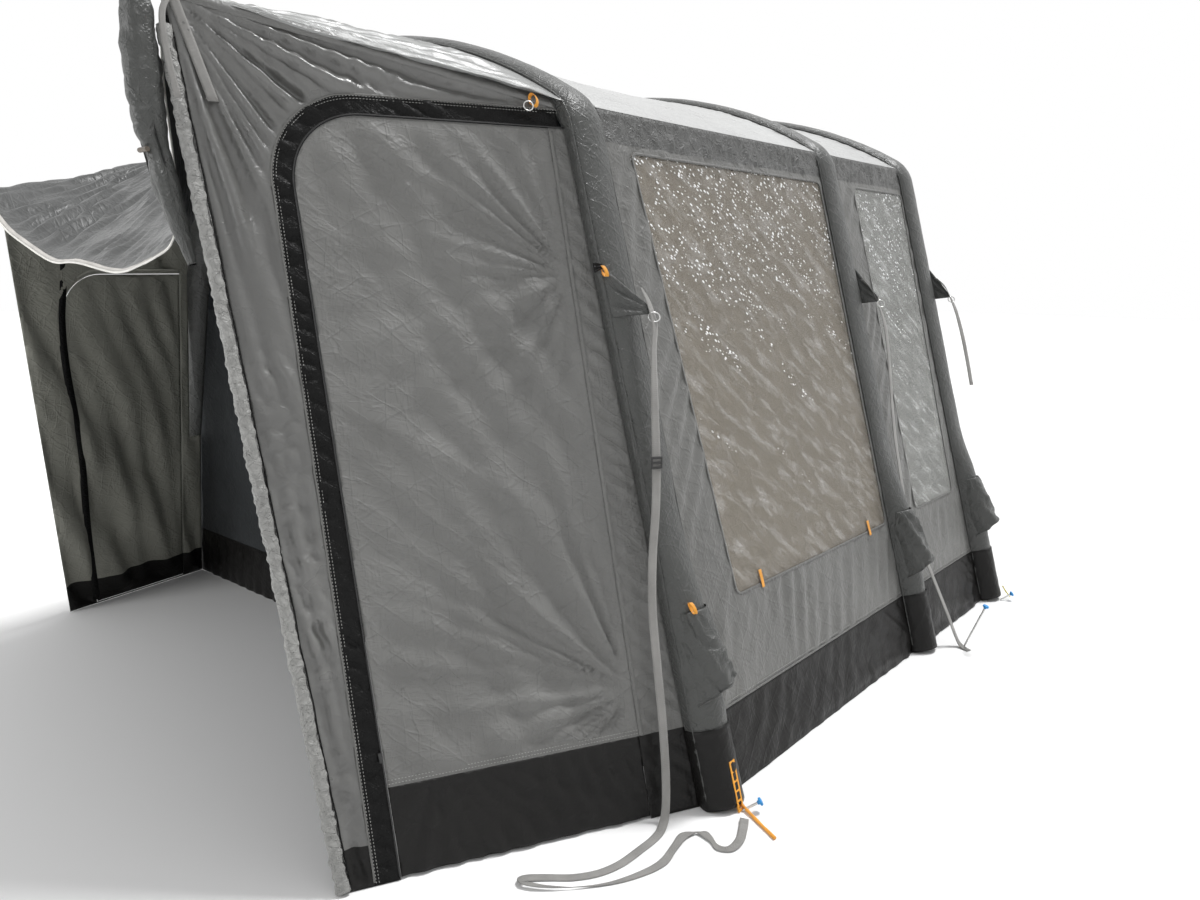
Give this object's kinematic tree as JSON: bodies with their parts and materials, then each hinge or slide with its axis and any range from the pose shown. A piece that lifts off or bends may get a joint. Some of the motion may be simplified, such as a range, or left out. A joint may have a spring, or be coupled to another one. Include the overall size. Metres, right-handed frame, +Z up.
{
  "type": "inflatable drive-away awning",
  "caption": "Free-standing inflatable awning: a windowed room on leaning air-beam arches, with a hanging tunnel, hinged fabric doors, valve hoods, storm straps and pegs.",
  "frame": {"origin": "on the ground, in the middle of the awning", "axes": "+X towards the side wall with the long window, +Y from the tunnel to the front wall, +Z up"},
  "size_m": [3.5809, 3.3551, 2.3003],
  "materials": {
    "wall_cloth": "mid grey coated polyester",
    "door_cloth": "mid grey coated polyester, creased",
    "inner_cloth": "dark grey-green polyester",
    "roof_cloth": "pale grey coated polyester with a sheen",
    "sleeve_cloth": "charcoal coated polyester",
    "mud_cloth": "black coated cloth, slightly shiny",
    "zip_cloth": "black zip tape and cover cloth",
    "blind_cloth": "taupe lining cloth",
    "clear_film": "clear window film",
    "beam_film": "translucent bladder film",
    "webbing": "pale grey woven webbing",
    "bead_plastic": "off-white bead",
    "black_plastic": "black moulded plastic",
    "cap_plastic": "black moulded plastic",
    "brown_plastic": "brown moulded toggle",
    "blue_plastic": "bright blue peg head",
    "orange_rubber": "orange moulded rubber",
    "steel": "plated steel"
  },
  "bodies": {
    "awning": {"air_beam_rear": "beam_film", "air_beam_middle": "beam_film", "air_beam_front": "beam_film", "beam_sleeve_rear": "sleeve_cloth", "beam_sleeve_middle": "sleeve_cloth", "beam_sleeve_front": "sleeve_cloth", "roof_panel_long": "roof_cloth", "roof_panel_short": "roof_cloth", "side_wall_near_long": "wall_cloth", "side_wall_near_short": "wall_cloth", "side_wall_far_long": "wall_cloth", "side_wall_far_short": "wall_cloth", "side_window_near_long": "clear_film", "side_window_near_short": "clear_film", "side_window_far_long": "clear_film", "side_window_far_short": "clear_film", "mud_band_near_long": "mud_cloth", "mud_band_near_short": "mud_cloth", "window_blind_near_long": "blind_cloth", "front_wall": "wall_cloth", "front_mud_band": "mud_cloth", "front_window_near": "clear_film", "front_window_far": "clear_film", "partition_wall": "inner_cloth", "partition_mud_band": "mud_cloth", "tunnel_wall_near": "wall_cloth", "near_door_zip_band": "zip_cloth", "near_hinge_strip": "wall_cloth", "tunnel_edge_pad": "wall_cloth", "tunnel_wall_far": "inner_cloth", "tunnel_roof": "roof_cloth", "kador_bead": "bead_plastic", "storm_strap_rear": "webbing", "storm_strap_middle": "webbing", "storm_strap_front": "webbing", "strap_slider": "black_plastic", "corner_strap": "webbing", "corner_ring": "steel", "rolled_flap": "inner_cloth", "flap_toggle": "brown_plastic", "ladder_strap": "orange_rubber", "peg_rear_near": "blue_plastic", "peg_middle_near": "blue_plastic", "peg_front_near": "blue_plastic", "peg_rear_far": "blue_plastic", "peg_front_far": "blue_plastic"},
    "near_door": {"near_tunnel_door": "door_cloth", "near_door_mud_band": "mud_cloth"},
    "far_door": {"far_tunnel_door": "inner_cloth"},
    "partition_door": {"partition_door": "inner_cloth"},
    "front_door": {"front_door": "wall_cloth"},
    "hood_rear": {"valve_hood_rear": "sleeve_cloth"},
    "hood_middle": {"valve_hood_middle": "sleeve_cloth"},
    "hood_front": {"valve_hood_front": "sleeve_cloth"},
    "cap_rear": {"valve_cap_rear": "cap_plastic"},
    "cap_middle": {"valve_cap_middle": "cap_plastic"},
    "cap_front": {"valve_cap_front": "cap_plastic"},
    "near_slider": {"near_zip_slider": "black_plastic"},
    "far_slider": {"far_zip_slider": "black_plastic"},
    "front_slider": {"front_zip_slider": "black_plastic"}
  },
  "joints": [
    {"name": "near_door_hinge", "type": "hinge", "parent": "awning", "child": "near_door", "pos_m": [1.52957, -0.83181, 0.00036], "axis": [-0.2453, 0.0483, 0.9682], "range_deg": [0, 85]},
    {"name": "far_door_hinge", "type": "hinge", "parent": "awning", "child": "far_door", "pos_m": [-1.44317, -0.74291, 0.00022], "axis": [-0.1483, 0, -0.9889], "range_deg": [0, 85]},
    {"name": "partition_door_hinge", "type": "hinge", "parent": "awning", "child": "partition_door", "pos_m": [0.71685, -0.63305, 1], "axis": [0, 0, -1], "range_deg": [0, 85]},
    {"name": "front_door_hinge", "type": "hinge", "parent": "awning", "child": "front_door", "pos_m": [0.45185, 1.59695, 1], "axis": [0, 0, -1], "range_deg": [0, 110]},
    {"name": "hood_rear_lift", "type": "hinge", "parent": "awning", "child": "hood_rear", "pos_m": [1.53681, -0.63455, 0.57292], "axis": [0, -1, 0], "range_deg": [0, 110]},
    {"name": "hood_middle_lift", "type": "hinge", "parent": "awning", "child": "hood_middle", "pos_m": [1.53681, 0.81545, 0.57292], "axis": [0, -1, 0], "range_deg": [0, 110]},
    {"name": "hood_front_lift", "type": "hinge", "parent": "awning", "child": "hood_front", "pos_m": [1.53681, 1.59545, 0.57292], "axis": [0, -1, 0], "range_deg": [0, 110]},
    {"name": "cap_rear_turn", "type": "hinge", "parent": "awning", "child": "cap_rear", "pos_m": [1.50448, -0.63455, 0.44], "axis": [0.9633, 0, 0.2683], "range_deg": [0, 270]},
    {"name": "cap_middle_turn", "type": "hinge", "parent": "awning", "child": "cap_middle", "pos_m": [1.50448, 0.81545, 0.44], "axis": [0.9633, 0, 0.2683], "range_deg": [0, 270]},
    {"name": "cap_front_turn", "type": "hinge", "parent": "awning", "child": "cap_front", "pos_m": [1.50448, 1.59545, 0.44], "axis": [0.9633, 0, 0.2683], "range_deg": [0, 270]},
    {"name": "near_zip_slide", "type": "slide", "parent": "awning", "child": "near_slider", "axis": [-0.2473, 0.0443, 0.9679], "range_m": [0, 1.42]},
    {"name": "far_zip_slide", "type": "slide", "parent": "awning", "child": "far_slider", "axis": [0.161, -0.0673, 0.9847], "range_m": [0, 1.01]},
    {"name": "front_zip_slide", "type": "slide", "parent": "awning", "child": "front_slider", "axis": [0, 0, 1], "range_m": [0, 1.05]}
  ]
}
